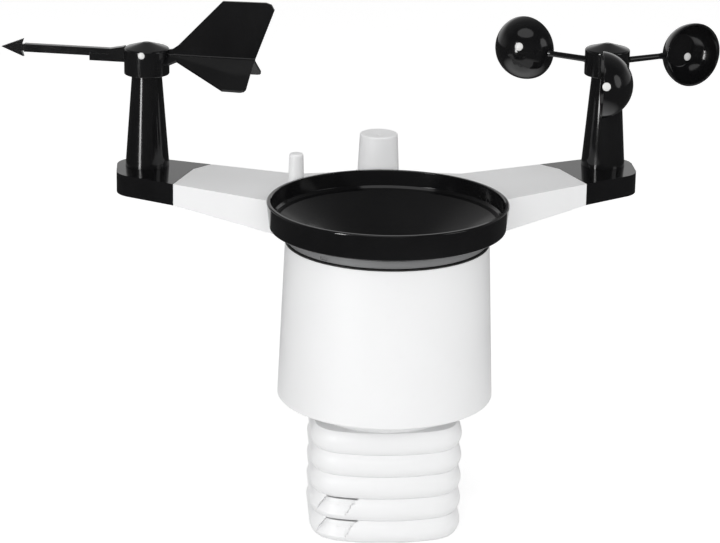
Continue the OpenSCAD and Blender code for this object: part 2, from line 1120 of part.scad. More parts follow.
module rotor_sensor_board() {
  post_board(1);
}

// round cap over the post top with a shallow cone roof
module turning_cap() {
  difference() {
    union() {
      translate([0, 0, cap_bottom])
        cylinder(r = cap_r, h = cap_side_h);
      translate([0, 0, cap_bottom + cap_side_h])
        cylinder(r1 = cap_r, r2 = 2.2, h = cap_cone_h);
    }
    translate([0, 0, cap_bottom - eps])
      cylinder(r = cap_r - cap_wall, h = cap_side_h - cap_roof);
    translate([0, 0, cap_bottom - eps])
      cylinder(r = shaft_r, h = cap_side_h, $fn = 64);
  }
}

module turning_shaft() {
  translate([0, 0, shaft_low])
    cylinder(r = shaft_r, h = cap_bottom + cap_side_h - shaft_low - 0.5, $fn = 64);
}

module turning_magnet() {
  translate([0, 0, shaft_low - 4])
    cylinder(r = 3.5, h = 4, $fn = 64);
}

module vane_cap() {
  color("#121212")
    post_place(-1)
      turning_cap();
}

module vane_shaft() {
  color("silver")
    post_place(-1)
      turning_shaft();
}

module vane_magnet() {
  color("#5a5a5a")
    post_place(-1)
      turning_magnet();
}

module vane_frame() {
  post_place(-1)
    translate([0, 0, vane_z])
      rotate([0, 0, vane_yaw])
        children();
}

module cap_room() {
  translate([0, 0, -big / 2])
    cylinder(r = cap_r + 0.04, h = big);
}

// arrow bar, deeper near the cap, with a flat head
module vane_arrow() {
  color("#121212")
    vane_frame()
      difference() {
        union() {
          translate([-arrow_reach + 13, -1.8, -2])
            cube([arrow_reach - 13, 3.6, 4.4]);
          translate([-32, -2.2, -4.6])
            cube([32, 4.4, 4]);
          rotate([90, 0, 0])
            linear_extrude(height = 2.4, center = true)
              polygon([
                [-arrow_reach, 0.2],
                [-arrow_reach + 12.6, 5.2],
                [-arrow_reach + 10.8, 0.2],
                [-arrow_reach + 12.6, -4.8]
              ]);
          translate([-arrow_reach + 9, -1.2, -1.6])
            cube([6, 2.4, 3.6]);
          // fairing from the cap roof down to the bar
          rotate([90, 0, 0])
            linear_extrude(height = 4.4, center = true)
              polygon([[-21, 2.3], [-9, 4.7], [-9, -1], [-21, -1]]);
        }
        cap_room();
      }
}

// three fins round a spine at 120 degrees
module vane_tail() {
  color("#121212")
    vane_frame()
      difference() {
        union() {
          fin([
            [8, 0],
            [11.4, 3.4],
            [14.8, 3.9],
            [17.8, 6],
            [fin_h * 1.34, fin_h],
            [tail_reach - 4.6, fin_h + 0.3],
            [tail_reach - 1.6, fin_h - 0.7],
            [tail_reach, fin_h - 3.6],
            [tail_reach - 10.8, 0]
          ]);
          for (a = [120, -120])
            rotate([a, 0, 0])
              fin([
                [8, 0],
                [8, 8],
                [13.5, 7.6],
                [17.7, 4.4],
                [47, 25.2],
                [tail_reach - 14.2, 25.4],
                [tail_reach - 12.4, 24.7],
                [tail_reach - 11.5, 23],
                [tail_reach - 11.3, 3],
                [tail_reach - 10.8, 0]
              ]);
          translate([8, 0, 0])
            rotate([0, 90, 0])
              cylinder(r = 1.4, h = tail_reach - 18.8, $fn = 48);
        }
        cap_room();
      }
}

module fin(outline) {
  rotate([90, 0, 0])
    linear_extrude(height = 1.6, center = true)
      polygon(outline);
}

module vane_screw() {
  color("#d8d8d8")
    post_place(-1)
      translate([0, 0, cap_bottom + cap_side_h - m3_head_h - 0.1])
        rotate([0, 0, -103])
          translate([cap_r + eps, 0, 0])
            rotate([0, 90, 0])
              cylinder(r = 1.9, h = 1, $fn = 48);
}

module rotor_cap() {
  color("#121212")
    post_place(1)
      turning_cap();
}

module rotor_shaft() {
  color("silver")
    post_place(1)
      turning_shaft();
}

module rotor_magnet() {
  color("#5a5a5a")
    post_place(1)
      turning_magnet();
}

module cup_axes(k) {
  post_place(1)
    translate([0, 0, arm_z])
      rotate([0, 0, -90 + rotor_turn + 120 * k])
        children();
}

// tapered spoke ending in a cup that opens clockwise seen from above
module wind_cup() {
  cup_y = -cup_ahead - cup_sink;
  difference() {
    union() {
      rotate([0, 90, 0])
        cylinder(r1 = spoke_r, r2 = spoke_tip_r, h = cup_reach - cup_r + 3, $fn = 48);
      translate([cup_reach, cup_y, 0])
        sphere(r = cup_r);
    }
    difference() {
      translate([cup_reach, cup_y, 0])
        sphere(r = cup_r - cup_wall);
      // flat disc in the bottom of the cup
      translate([cup_reach, cup_y + cup_r - cup_disc, 0])
        rotate([-90, 0, 0])
          cylinder(r = 9.6, h = 9);
    }
    translate([cup_reach - 30, -cup_ahead - 60, -30])
      cube([60, 60, 60]);
    translate([0, 0, -big / 2])
      cylinder(r = cap_r + 0.04, h = big);
  }
}

module rotor_cups() {
  color("#121212")
    for (k = [0 : 2])
      cup_axes(k)
        wind_cup();
}

// pale pin heads: two outside the cups, one on the disc inside the third
module cup_pins() {
  color("#d8d8d8") {
    cup_pin_place(0)
      rotate([0, 0, 9])
        rotate([0, -10.2, 0])
          translate([cup_r + eps, 0, 0])
            rotate([0, 90, 0])
              pin_head();
    cup_pin_place(1)
      translate([5, cup_r - cup_disc - eps, -4.2])
        rotate([90, 0, 0])
          pin_head();
    cup_pin_place(2)
      rotate([0, 0, 103])
        rotate([0, -12.5, 0])
          translate([cup_r + eps, 0, 0])
            rotate([0, 90, 0])
              pin_head();
  }
}

module cup_pin_place(k) {
  cup_axes(k)
    translate([cup_reach, -cup_ahead - cup_sink, 0])
      children();
}

module pin_head() {
  cylinder(r = 2.3, h = 0.8, $fn = 48);
}

module battery_door() {
  door_w = bay_w + 2 * door_over;
  color("white")
    bay_axes() {
      difference() {
        union() {
          translate([-door_over, -door_w / 2, -door_gap - door_t])
            cube([bay_l + 2 * door_over, door_w, door_t]);
          translate([-door_over, 0, hinge_z])
            rotate([90, 0, 0])
              cylinder(r = door_t / 2, h = door_w, center = true);
        }
        // notches round the hinge lugs
        for (s = [-1, 1])
          translate([-door_over - 2, s * hinge_y - lug_w / 2 - 0.2, -5])
            cube([3.8, lug_w + 0.4, 8]);
      }
      translate([-door_over, 0, hinge_z])
        rotate([90, 0, 0])
          cylinder(r = hinge_pin_r, h = 2 * hinge_y + lug_w + 2, center = true, $fn = 48);
    }
}

// lug under the arm that carries one end of the door's pin
module hinge_lug(s) {
  bay_axes()
    translate([-door_over, s * hinge_y, hinge_z])
      difference() {
        union() {
          rotate([90, 0, 0])
            cylinder(r = door_t / 2, h = lug_w, center = true);
          translate([-door_t / 2, -lug_w / 2, 0])
            cube([door_t, lug_w, 0.7 - hinge_z]);
        }
        rotate([90, 0, 0])
          cylinder(r = hinge_pin_r + run, h = lug_w + 1, center = true, $fn = 48);
      }
}

module battery_cells() {
  color("#3a6ea5")
    bay_axes()
      for (k = [-1 : 1])
        translate([(bay_l - cell_l) / 2, k * cell_pitch, cell_lift + cell_r])
          rotate([0, 90, 0]) {
            cylinder(r = cell_r, h = cell_l - 1, $fn = 64);
            translate([0, 0, cell_l - 1 - eps])
              cylinder(r = 1.9, h = 1, $fn = 32);
          }
}

arm_frame();
arm_cover();
end_cap_left();
end_cap_right();
pole_socket();
saddle_bracket();
saddle_screws();
pole_screw();
pole_nut();
antenna_sleeve();
gauge_body();
gauge_deck();
seal_ring();
bottom_plate();
plate_screws();
lock_collar();
funnel();
debris_filter();
gauge_floor();
bucket_cradle();
bucket_pin();
stop_screws();
drain_screens();
drain_tubes();
reed_switch();
tipping_bucket();
bucket_magnet();
main_board();
radio_module();
board_posts();
reset_button();
louvre_1();
louvre_2();
louvre_3();
louvre_4();
louvre_5();
shield_core();
shield_foot();
tie_screws();
climate_board();
climate_sensor();
vane_post();
vane_bushings();
vane_sensor_board();
vane_cap();
vane_shaft();
vane_arrow();
vane_tail();
vane_screw();
vane_magnet();
rotor_post();
rotor_bushings();
rotor_sensor_board();
rotor_cap();
rotor_shaft();
rotor_cups();
cup_pins();
rotor_magnet();
battery_door();
battery_cells();
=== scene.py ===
import json
import math

import bmesh
import bpy
from mathutils import Matrix, Vector


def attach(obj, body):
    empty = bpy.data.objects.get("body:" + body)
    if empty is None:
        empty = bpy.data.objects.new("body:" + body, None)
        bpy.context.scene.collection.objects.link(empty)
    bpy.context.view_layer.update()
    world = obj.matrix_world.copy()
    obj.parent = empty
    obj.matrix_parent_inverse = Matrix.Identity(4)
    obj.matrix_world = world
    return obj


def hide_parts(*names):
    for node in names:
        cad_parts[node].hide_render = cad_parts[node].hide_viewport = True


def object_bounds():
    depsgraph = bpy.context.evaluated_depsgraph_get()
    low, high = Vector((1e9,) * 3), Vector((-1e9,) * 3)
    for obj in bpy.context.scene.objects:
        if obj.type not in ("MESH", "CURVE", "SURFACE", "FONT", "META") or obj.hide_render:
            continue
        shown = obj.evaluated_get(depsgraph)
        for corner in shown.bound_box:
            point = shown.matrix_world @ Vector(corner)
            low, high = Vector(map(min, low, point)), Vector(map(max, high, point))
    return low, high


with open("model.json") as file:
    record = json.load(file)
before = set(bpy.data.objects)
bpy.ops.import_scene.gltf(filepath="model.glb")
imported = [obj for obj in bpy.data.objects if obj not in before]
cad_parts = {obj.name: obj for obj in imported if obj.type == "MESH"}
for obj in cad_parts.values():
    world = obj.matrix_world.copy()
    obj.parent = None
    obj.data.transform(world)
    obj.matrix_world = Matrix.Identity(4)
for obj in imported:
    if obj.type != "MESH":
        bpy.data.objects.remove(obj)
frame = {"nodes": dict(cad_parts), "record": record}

MM = 0.001
CAD_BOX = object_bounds()
NODES = frame["nodes"]


# ---------------------------------------------------------------- camera
AZ, EL, ROLL = math.radians(-3.615), math.radians(17.477), math.radians(0.957)
DISTANCE = 1.481678
AIM = Vector((-0.014174, -0.080, 0.021382))
SENSOR_MM, LENS_MM = 36, 139.95
CLIP_NEAR, CLIP_FAR = 0.05, 30


def place_camera():
    """The photograph's view: turned round the part, looking down a little and rolled slightly."""
    right = Vector((math.cos(AZ), math.sin(AZ), 0))
    ahead = Vector((-math.sin(AZ) * math.cos(EL), math.cos(AZ) * math.cos(EL), -math.sin(EL)))
    up = right.cross(ahead)
    across = right * math.cos(ROLL) + up * math.sin(ROLL)
    upright = up * math.cos(ROLL) - right * math.sin(ROLL)
    place = AIM - ahead * DISTANCE
    cam_data = bpy.data.cameras.new("view")
    cam_data.sensor_width = SENSOR_MM
    cam_data.lens = LENS_MM
    cam_data.clip_start = CLIP_NEAR
    cam_data.clip_end = CLIP_FAR
    cam = bpy.data.objects.new("view", cam_data)
    bpy.context.collection.objects.link(cam)
    rows = [(across[k], upright[k], -ahead[k], place[k]) for k in range(3)]
    cam.matrix_world = Matrix((*rows, (0, 0, 0, 1)))
    bpy.context.scene.camera = cam


place_camera()

# ---------------------------------------------------------------- sizes in millimetres
# x and y of the turned pieces' axes, and heights over the pole socket's mouth
AX = (0.0, -80.0)
RIM_TOP = 60.0
BAND_LOW = 46.2
SEAT = 43.53
COLLAR_LOW, COLLAR_TOP = 39.23, 43.33
SEAL_TOP = 39.03
BODY_TOP, BODY_FOOT = 38.23, -46.77
SHIELD_TOP = -56.07
POST_X, POST_Y = 127.5, 16.9
ARM_TOP = 53.5
POST_TOP = 107.1
CAP_LOW = 105.6
SHOULDER = 120.0
APEX = 123.3


# ---------------------------------------------------------------- node helpers
class Nodes:
    """A node tree with short ways to add, link and combine nodes."""

    def __init__(self, tree):
        self.tree = tree
        tree.nodes.clear()

    def new(self, kind, **props):
        node = self.tree.nodes.new(kind)
        for key, value in props.items():
            setattr(node, key, value)
        return node

    def link(self, a, b):
        self.tree.links.new(a, b)

    def feed(self, socket, value):
        """Link an output to the socket, or set it to a number or to a colour."""
        if hasattr(value, "links"):
            self.link(value, socket)
        elif isinstance(value, tuple):
            socket.default_value = (*value, 1)
        else:
            socket.default_value = value

    def span(self, value, lo, hi, to_lo, to_hi):
        """Map lo..hi to to_lo..to_hi, held at both ends."""
        node = self.new("ShaderNodeMapRange")
        for key, number in zip(("From Min", "From Max", "To Min", "To Max"), (lo, hi, to_lo, to_hi)):
            node.inputs[key].default_value = number
        self.link(value, node.inputs["Value"])
        return node.outputs[0]

    def math(self, op, a, b):
        node = self.new("ShaderNodeMath", operation=op)
        self.feed(node.inputs[0], a)
        self.feed(node.inputs[1], b)
        return node.outputs[0]

    def mix(self, factor, first, second):
        """Mix two shaders; a factor of 1 gives the second."""
        node = self.new("ShaderNodeMixShader")
        for k, source in enumerate((factor, first, second)):
            self.link(source, node.inputs[k])
        return node.outputs[0]


class Mat(Nodes):
    """One procedural material with its node tree close at hand."""

    def __init__(self, name):
        self.mat = bpy.data.materials.new(name)
        self.mat.use_nodes = True
        super().__init__(self.mat.node_tree)
        self.out = self.new("ShaderNodeOutputMaterial")
        self.bsdf = self.new("ShaderNodeBsdfPrincipled")
        self.link(self.bsdf.outputs[0], self.out.inputs[0])
        self.coord = self.new("ShaderNodeTexCoord").outputs["Object"]

    def scaled(self, x, y, z):
        node = self.new("ShaderNodeMapping")
        node.inputs["Scale"].default_value = (x, y, z)
        self.link(self.coord, node.inputs["Vector"])
        return node.outputs[0]

    def noise(self, scale, detail=3.0, rough=0.5, distort=0.0, vector=None):
        node = self.new("ShaderNodeTexNoise")
        node.inputs["Scale"].default_value = scale
        node.inputs["Detail"].default_value = detail
        node.inputs["Roughness"].default_value = rough
        node.inputs["Distortion"].default_value = distort
        self.link(vector or self.coord, node.inputs["Vector"])
        return node.outputs["Fac"]

    def cells(self, scale):
        node = self.new("ShaderNodeTexVoronoi")
        node.inputs["Scale"].default_value = scale
        self.link(self.coord, node.inputs["Vector"])
        return node.outputs["Distance"]

    def blend(self, factor, a, b):
        """Mix two colours; the Mix node's colour inputs are its seventh and eighth."""
        node = self.new("ShaderNodeMix", data_type="RGBA")
        self.link(factor, node.inputs["Factor"])
        self.feed(node.inputs[6], a)
        self.feed(node.inputs[7], b)
        return node.outputs[2]

    def bump(self, height, strength, distance_mm, below=None):
        node = self.new("ShaderNodeBump")
        node.inputs["Strength"].default_value = strength
        node.inputs["Distance"].default_value = distance_mm * MM
        self.link(height, node.inputs["Height"])
        if below is not None:
            self.link(below, node.inputs["Normal"])
        return node.outputs[0]

    def set(self, **values):
        """Feed the Principled shader's sockets, named with underscores for spaces."""
        for key, value in values.items():
            self.feed(self.bsdf.inputs[key.replace("_", " ")], value)
        return self.mat


# ---------------------------------------------------------------- materials
DUST = (0.55, 0.54, 0.52)


def moulded(name, base, shade, rough, grain=1600, grain_mm=0.012, wave_mm=0.0, dust=0.0):
    """Injection moulded plastic: fine spark grain, faint flow waves, wiped smudges and settled dust."""
    m = Mat(name)
    cloud = m.span(m.noise(26, 4, 0.55, 0.3), 0.35, 0.68, 0, 1)
    fine = m.noise(grain, 2, 0.6)
    smear = m.span(m.noise(55, 5, 0.62, 0.5, m.scaled(1, 1, 0.35)), 0.44, 0.72, 0, 1)
    colour = m.blend(cloud, base, shade)
    if dust > 0:
        speck = m.span(m.cells(520), 0.02, 0.09, 1, 0)
        fleck = m.math("MULTIPLY", speck, m.span(m.noise(90, 3), 0.52, 0.7, 0, dust))
        colour = m.blend(fleck, colour, DUST)
    tone = m.math("ADD", m.span(smear, 0, 1, *rough), m.span(fine, 0.3, 0.7, -0.012, 0.012))
    low = m.bump(m.noise(150, 2, 0.5), 0.6, wave_mm) if wave_mm else None
    skin = m.bump(fine, 0.35, grain_mm, low)
    return m.set(Base_Color=colour, Roughness=tone, Normal=skin)


def white_plastic():
    """Satin white shell: fine spark-eroded grain and a trace of handling."""
    m = Mat("white_shell")
    cloud = m.span(m.noise(18, 4, 0.5, 0.2), 0.35, 0.65, 0, 1)
    grain = m.noise(1500, 2, 0.55)
    pits = m.cells(2100)
    colour = m.blend(cloud, (0.862, 0.864, 0.868), (0.845, 0.847, 0.850))
    film = m.math("MULTIPLY", m.span(m.noise(240, 4, 0.6), 0.6, 0.8, 0, 1), 0.10)
    colour = m.blend(film, colour, (0.70, 0.70, 0.69))
    handled = m.span(m.noise(42, 5, 0.6, 0.4), 0.35, 0.7, 0.36, 0.47)
    tone = m.math("ADD", handled, m.span(grain, 0.3, 0.7, -0.02, 0.02))
    height = m.math("ADD", m.math("MULTIPLY", grain, 0.6), m.math("MULTIPLY", pits, 0.4))
    skin = m.bump(height, 0.30, 0.014, m.bump(m.noise(120, 2), 0.35, 0.012))
    return m.set(Base_Color=colour, Roughness=tone, Normal=skin, Specular_IOR_Level=0.45)


def metal(name, base, rough, brushed=(1, 1, 30)):
    """Metal with darker spots and fine lines, packed closest along the axis with the largest number."""
    m = Mat(name)
    line = m.noise(60, 4, 0.6, 0.0, m.scaled(*(40 * c for c in brushed)))
    spot = m.span(m.noise(300, 3, 0.6), 0.4, 0.75, 0, 1)
    colour = m.blend(spot, base, tuple(0.78 * c for c in base))
    tone = m.span(line, 0.3, 0.7, rough - 0.06, rough + 0.08)
    return m.set(Base_Color=colour, Metallic=1.0, Roughness=tone, Normal=m.bump(line, 0.3, 0.01))


def rubber():
    """Dull black rubber with a coarse grain."""
    m = Mat("seal_rubber_skin")
    grain = m.noise(900, 4, 0.7)
    patch = m.span(m.noise(120, 3), 0.4, 0.7, 0, 1)
    colour = m.blend(patch, (0.012, 0.012, 0.012), (0.03, 0.03, 0.029))
    tone = m.span(grain, 0.3, 0.7, 0.55, 0.75)
    return m.set(Base_Color=colour, Roughness=tone, Normal=m.bump(grain, 0.4, 0.02))


def circuit():
    """Solder mask over a copper ground, with tracks as straight steps and tinned pads."""
    m = Mat("board_mask")
    tracks = m.new("ShaderNodeTexBrick")
    for key, number in (("Scale", 220), ("Mortar Size", 0.018), ("Brick Width", 1.7), ("Row Height", 0.4)):
        tracks.inputs[key].default_value = number
    m.link(m.coord, tracks.inputs["Vector"])
    mask = m.blend(tracks.outputs["Fac"], (0.012, 0.10, 0.035), (0.02, 0.16, 0.055))
    dots = m.span(m.cells(380), 0.06, 0.10, 1, 0)
    pads = m.math("MULTIPLY", dots, m.span(m.noise(120, 2), 0.5, 0.55, 0, 1))
    colour = m.blend(pads, mask, (0.55, 0.53, 0.48))
    tone = m.span(m.noise(200, 2), 0.3, 0.7, 0.25, 0.4)
    return m.set(Base_Color=colour, Roughness=tone, Normal=m.bump(tracks.outputs["Fac"], 0.4, 0.03))


MATS = {
    "white_plastic": white_plastic(),
    "black_plastic": moulded("black_gloss", (0.0052, 0.0052, 0.0056), (0.0080, 0.0080, 0.0084), (0.10, 0.17),
                             grain=1300, grain_mm=0.0035, wave_mm=0.010, dust=0.05),
    # mid grey of the lock collar: painted reflection, standing for black gloss plastic that looks grey by what
    # it mirrors
    "grey_plastic": moulded("grey_satin_painted_reflection", (0.235, 0.238, 0.242), (0.215, 0.217, 0.220), (0.34, 0.44)),
    "natural_plastic": moulded("natural_shell", (0.70, 0.69, 0.66), (0.66, 0.65, 0.62), (0.38, 0.5)),
    "seal_rubber": rubber(),
    "steel": metal("bright_steel", (0.62, 0.62, 0.61), 0.24),
    "board": circuit(),
    "radio_can": metal("tinned_can", (0.55, 0.56, 0.57), 0.32, (1, 6, 1)),
    "bush_brass": metal("bearing_brass", (0.72, 0.52, 0.24), 0.28),
    "magnet": metal("nickel_plate", (0.36, 0.36, 0.37), 0.3),
    # pale plastic for the vane's screw head, used also for the cups' pale dots, which are painted highlights
    "pin_pale": moulded("pale_pin_and_glint", (0.78, 0.78, 0.77), (0.72, 0.72, 0.71), (0.25, 0.35)),
    "cell_wrap": moulded("cell_sleeve", (0.03, 0.11, 0.26), (0.035, 0.13, 0.30), (0.22, 0.3)),
}
SLOT_OF = {row["node"]: row["material_slot"] for row in frame["record"]["subparts"]}

# ---------------------------------------------------------------- mesh helpers
CREASE = math.radians(40)
BEVEL_FROM = math.radians(30)
FLAT_WITHIN = math.radians(0.4)
WELD = 0.002 * MM
AXIS_R = 1e-6
FLAT_TURN = 0.02
EDGE_SHARE = 0.48


def plain_object(name, bm):
    """Turn a bmesh into an object of the scene."""
    me = bpy.data.meshes.new(name)
    bmesh.ops.recalc_face_normals(bm, faces=bm.faces[:])
    bm.to_mesh(me)
    bm.free()
    ob = bpy.data.objects.new(name, me)
    bpy.context.collection.objects.link(ob)
    return ob


def shade(me):
    """Smooth shading, with the edges past the crease angle kept sharp."""
    me.shade_smooth()
    me.set_sharp_from_angle(angle=CREASE)


def mesh_object(name, bm, node, slot, body):
    """A visible piece that stands for a CAD node and moves with its body."""
    ob = plain_object(name, bm)
    ob.data.materials.append(MATS[slot])
    shade(ob.data)
    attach(ob, body)
    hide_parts(node)
    return ob


def freeze(ob):
    """Swap the object's mesh for what its modifiers make of it."""
    deps = bpy.context.evaluated_depsgraph_get()
    deps.update()
    old = ob.data
    made = bpy.data.meshes.new_from_object(ob.evaluated_get(deps))
    ob.modifiers.clear()
    ob.data = made
    bpy.data.meshes.remove(old)


def bake_modifiers(ob, weighted=True):
    """Freeze the modifier stack, then keep flat faces flat with area weighted normals."""
    freeze(ob)
    shade(ob.data)
    if weighted:
        ob.modifiers.new("weights", "WEIGHTED_NORMAL").keep_sharp = True
        freeze(ob)
    return ob


def filleted(points, steps=6):
    """Round each (x, y, radius) corner of a closed path with an arc, at most steps per quarter turn."""
    out = []
    for i, (x, y, rad) in enumerate(points):
        if rad <= 0:
            out.append((x, y))
            continue
        px, py = points[i - 1][:2]
        nx, ny = points[(i + 1) % len(points)][:2]
        a = Vector((px - x, py - y))
        b = Vector((nx - x, ny - y))
        la, lb = a.length, b.length
        a.normalize()
        b.normalize()
        bend = math.pi - a.angle(b)
        if bend < FLAT_TURN:
            out.append((x, y))
            continue
        cut = min(rad * math.tan(bend / 2), EDGE_SHARE * la, EDGE_SHARE * lb)
        r = cut / math.tan(bend / 2)
        centre = Vector((x, y)) + (a + b).normalized() * math.hypot(cut, r)
        s = Vector((x, y)) + a * cut - centre
        e = Vector((x, y)) + b * cut - centre
        sweep = math.atan2(s.x * e.y - s.y * e.x, s.dot(e))
        n = max(2, min(steps * 2, math.ceil(abs(sweep) / math.radians(90 / steps))))
        for k in range(n + 1):
            t = sweep * k / n
            out.append((centre.x + s.x * math.cos(t) - s.y * math.sin(t),
                        centre.y + s.x * math.sin(t) + s.y * math.cos(t)))
    return out


def at(x, y, z=0.0):
    return Matrix.Translation((x * MM, y * MM, z * MM))


def turn(deg, axis):
    return Matrix.Rotation(math.radians(deg), 4, axis)


def lathe_bm(path, n, place, bm=None):
    """Turn a closed (r, z) path round Z in n steps; points on the axis become poles."""
    bm = bm or bmesh.new()
    rings = []
    for r, z in path:
        if r < AXIS_R:
            rings.append([bm.verts.new((0, 0, z * MM))] * n)
            continue
        angles = [2 * math.pi * k / n for k in range(n)]
        rings.append([bm.verts.new((r * MM * math.cos(a), r * MM * math.sin(a), z * MM)) for a in angles])
    made = {v for ring in rings for v in ring}
    for i, a in enumerate(rings):
        b = rings[(i + 1) % len(rings)]
        for k in range(n):
            m = (k + 1) % n
            corners = list(dict.fromkeys((a[k], a[m], b[m], b[k])))
            if len(corners) > 2:
                bm.faces.new(corners)
    bmesh.ops.transform(bm, matrix=place, verts=list(made))
    return bm


def lathe(name, points, node, slot, body, x, y, n=192, steps=6):
    """A turned piece on the upright axis through x, y."""
    bm = lathe_bm(filleted(points, steps), n, at(x, y))
    return bake_modifiers(mesh_object(name, bm, node, slot, body))


def prism_bm(points, lo, hi, place):
    """Extrude an (x, y) outline from z lo to z hi."""
    bm = bmesh.new()
    low = [bm.verts.new((x * MM, y * MM, lo * MM)) for x, y in points]
    top = [bm.verts.new((x * MM, y * MM, hi * MM)) for x, y in points]
    bm.faces.new(low[::-1])
    bm.faces.new(top)
    for i in range(len(points)):
        j = (i + 1) % len(points)
        bm.faces.new((low[i], low[j], top[j], top[i]))
    bmesh.ops.transform(bm, matrix=place, verts=low + top)
    return bm


def cutter(bm):
    return plain_object("cutter", bm)


def carve(ob, tools, operation="DIFFERENCE", weighted=True):
    """Cut, join or trim the piece with the tool objects, which are then removed."""
    for tool in tools:
        mod = ob.modifiers.new("cut", "BOOLEAN")
        mod.operation = operation
        mod.solver = "EXACT"
        mod.object = tool
    bake_modifiers(ob, weighted)
    for tool in tools:
        me = tool.data
        bpy.data.objects.remove(tool)
        bpy.data.meshes.remove(me)
    return ob


def refined(node, slot, body, width=0.3, segments=2):
    """A CAD solid taken over with rounded edges and true shading."""
    bm = bmesh.new()
    bm.from_mesh(NODES[node].data)
    bmesh.ops.remove_doubles(bm, verts=bm.verts[:], dist=WELD)
    bmesh.ops.dissolve_limit(bm, angle_limit=FLAT_WITHIN, verts=bm.verts[:], edges=bm.edges[:])
    ob = mesh_object("v_" + node, bm, node, slot, body)
    mod = ob.modifiers.new("round", "BEVEL")
    mod.width = width * MM
    mod.segments = segments
    mod.limit_method = "ANGLE"
    mod.angle_limit = BEVEL_FROM
    mod.use_clamp_overlap = True
    mod.miter_outer = "MITER_ARC"
    return bake_modifiers(ob)


# ---------------------------------------------------------------- rain gauge
RIM_R, LIP_R, BAND_FOOT_R, BAND_IN_R, SEAT_R = 64.0, 62.0, 62.35, 56.0, 53.6
SPIGOT_R, SPIGOT_BORE_R, SPIGOT_LOW = 49.2, 47.6, 39.63
SPOUT_R, SPOUT_BORE_R, SPOUT_LOW = 5.8, 4.0, 15.78
CONE_LOW, CONE_DEG, CONE_WALL = 19.78, 29, 1.8
COLLAR_R, COLLAR_BORE_R = 53.0, 51.45
POINTER_DEG, POINTER_UP, POINTER_HALF_W, POINTER_HALF_H, POINTER_REACH = -132, 1.6, 0.8, 0.9, 2.5
SEAL_R, SEAL_BORE_R = 54.1, 51.8
BODY_TOP_R, BODY_FOOT_R, BODY_WALL = 54.0, 57.5, 2.5
SADDLE_BORE_R, SADDLE_BORE_REACH, SADDLE_HEIGHTS = 1.6, 90, (9, 27)


def cone(r):
    """Height of the funnel's cone at radius r."""
    return CONE_LOW + (r - SPOUT_BORE_R) * math.tan(math.radians(CONE_DEG))


lathe("v_funnel", [
    (RIM_R, RIM_TOP, 1.1), (BAND_FOOT_R, BAND_LOW, 0.7), (BAND_IN_R, BAND_LOW, 0.8), (SEAT_R, SEAT, 0.3),
    (SPIGOT_R, SEAT, 0.2), (SPIGOT_R, SPIGOT_LOW, 0.3), (SPIGOT_BORE_R, SPIGOT_LOW, 0.3),
    (SPIGOT_BORE_R, cone(SPIGOT_BORE_R) - CONE_WALL, 0.6), (SPOUT_R, cone(SPOUT_R) - CONE_WALL, 0.4),
    (SPOUT_R, SPOUT_LOW, 0.4), (SPOUT_BORE_R, SPOUT_LOW, 0.4), (SPOUT_BORE_R, CONE_LOW, 1.2),
    # the step where the cone meets the upright wall, and the lip
    (57.8, 49.6, 0.3), (60.1, 50.3, 0.3), (61.2, 51.6, 0.4), (61.7, 59.6, 0.2), (LIP_R, RIM_TOP, 0.0),
], "funnel", "black_plastic", "funnel", *AX, n=256, steps=8)

# the collar's grey colour is painted reflection
collar = lathe("v_lock_collar", [
    (COLLAR_R, COLLAR_TOP, 0.35), (COLLAR_BORE_R, COLLAR_TOP, 0.2),
    (COLLAR_BORE_R, COLLAR_LOW, 0.2), (COLLAR_R, COLLAR_LOW, 0.35),
], "lock_collar", "grey_plastic", "collar", *AX, n=256)
pointer = [(-POINTER_HALF_W, -POINTER_REACH), (POINTER_HALF_W, -POINTER_REACH),
           (POINTER_HALF_W, POINTER_REACH), (-POINTER_HALF_W, POINTER_REACH)]
pointer_at = at(*AX, COLLAR_LOW + POINTER_UP) @ turn(POINTER_DEG, "Z") @ at(COLLAR_R, 0)
carve(collar, [cutter(prism_bm(pointer, -POINTER_HALF_H, POINTER_HALF_H, pointer_at))])

lathe("v_seal_ring", [
    (SEAL_R, SEAL_TOP, 0.3), (SEAL_BORE_R, SEAL_TOP, 0.1),
    (SEAL_BORE_R, BODY_TOP, 0.1), (SEAL_R, BODY_TOP, 0.3),
], "seal_ring", "seal_rubber", "station", *AX, n=256)

gauge = lathe("v_gauge_body", [
    (BODY_TOP_R, BODY_TOP, 0.55), (BODY_TOP_R - BODY_WALL, BODY_TOP, 0.3),
    (BODY_FOOT_R - BODY_WALL, BODY_FOOT, 0.4), (BODY_FOOT_R, BODY_FOOT, 1.5),
], "gauge_body", "white_plastic", "station", *AX, n=256, steps=8)
bore = [(0, 0), (SADDLE_BORE_R, 0), (SADDLE_BORE_R, SADDLE_BORE_REACH), (0, SADDLE_BORE_REACH)]
carve(gauge, [cutter(lathe_bm(bore, 32, at(*AX, z) @ turn(-90, "X"))) for z in SADDLE_HEIGHTS])

# ---------------------------------------------------------------- shield
# the ring plan: a bowed front and back, rounded corners and straight sides
NOTCH, CORNER, SIDE, AHEAD = 37.8, 16.8, 0.28, 0.96
CORNER_X = NOTCH - CORNER
BOW = CORNER + CORNER_X / SIDE
CORNER_Y = (BOW - NOTCH) - (BOW - CORNER) * AHEAD
BOW_STEPS, CORNER_STEPS, SIDE_STEPS = 16, 28, 3
# one ring's section, with radii as on a round ring
RING_R, WALL_IN_R, CORE_R = 40.5, 34.8, 26.0
PITCH, RING_WALL, FLANGE, SLOT = 12.4, 2.0, 1.2, 1.5
HALF = PITCH / 2 - 0.01
SWELL = 2.7
NOSE_R = (HALF * HALF + SWELL * SWELL) / (2 * SWELL)
NOSE_X = RING_R - NOSE_R
NOSE_STEPS, INNER_STEPS = 12, 8
